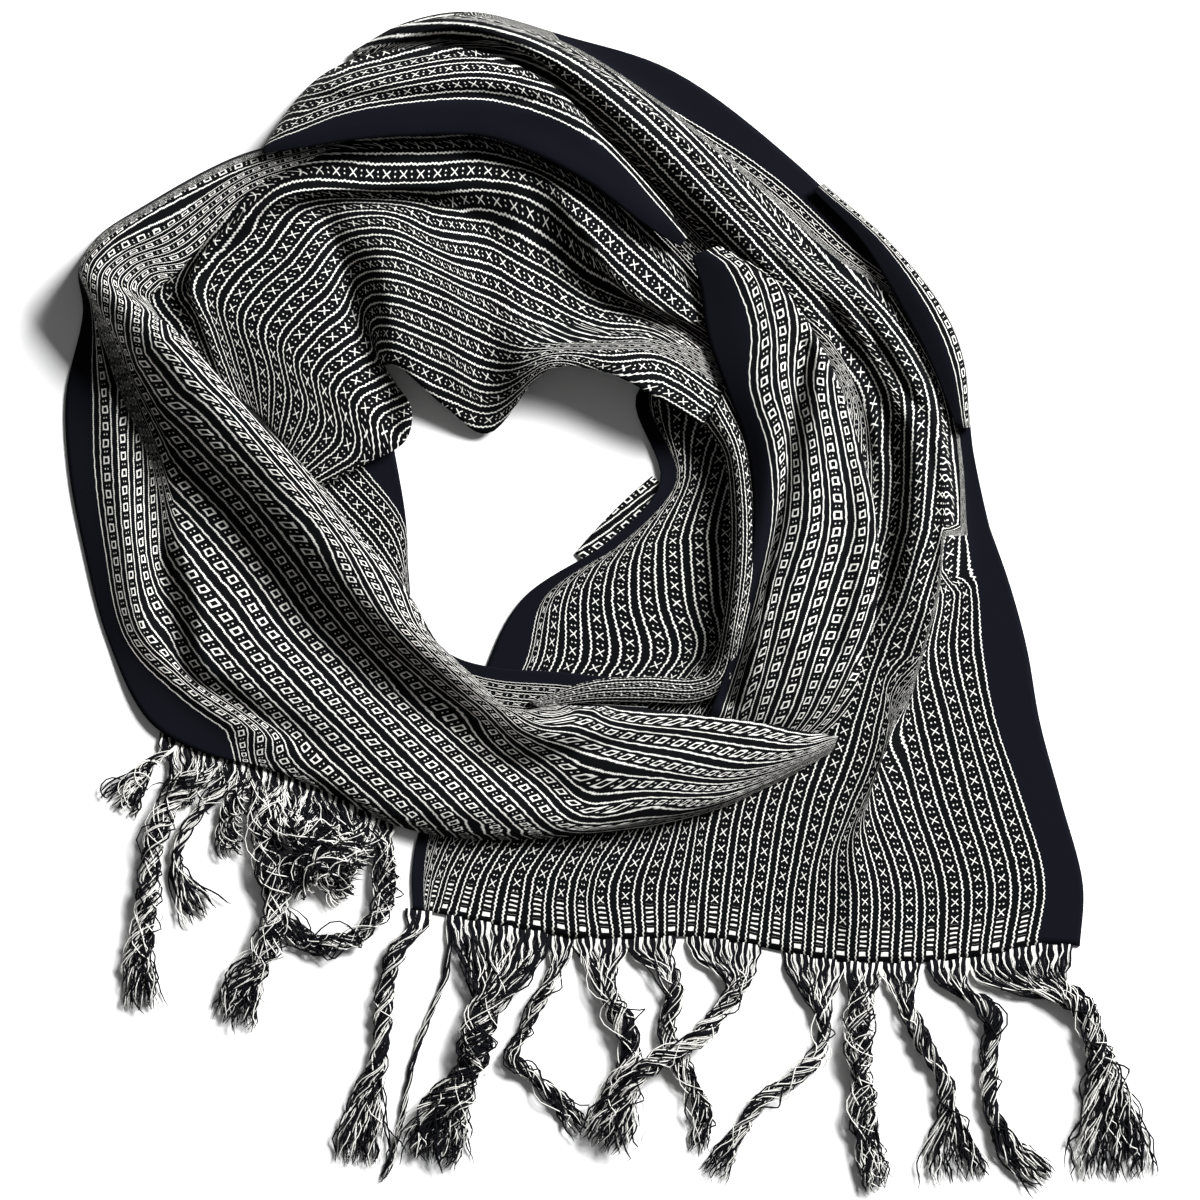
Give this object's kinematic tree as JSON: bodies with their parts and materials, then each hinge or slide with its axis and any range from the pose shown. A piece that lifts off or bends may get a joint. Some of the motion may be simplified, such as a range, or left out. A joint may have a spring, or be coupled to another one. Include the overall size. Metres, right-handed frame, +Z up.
{
  "type": "woven cotton scarf",
  "caption": "Handwoven black and white striped cotton scarf lying flat in a loose loop, with twisted and frayed warp fringe at both ends.",
  "frame": {"origin": "on the table under the middle of the scarf's outline", "axes": "+Z up from the table, +Y from the fringed ends towards the top of the loop, +X towards the wide end panel"},
  "size_m": [0.6778, 0.7339, 0.0442],
  "materials": {
    "cloth": "matte woven cotton",
    "border": "matte woven cotton",
    "fringe": "matte cotton yarn"
  },
  "bodies": {
    "root": {"outer_stretch": "cloth", "upper_band": "cloth", "turned_border": "border", "interior": "cloth", "inner_lip": "cloth", "front_stretch": "cloth", "right_inner": "cloth", "under_layer": "cloth", "lower_strip": "cloth", "end_panel_b": "cloth", "fringe_a": "fringe", "fringe_b": "fringe"}
  },
  "joints": []
}
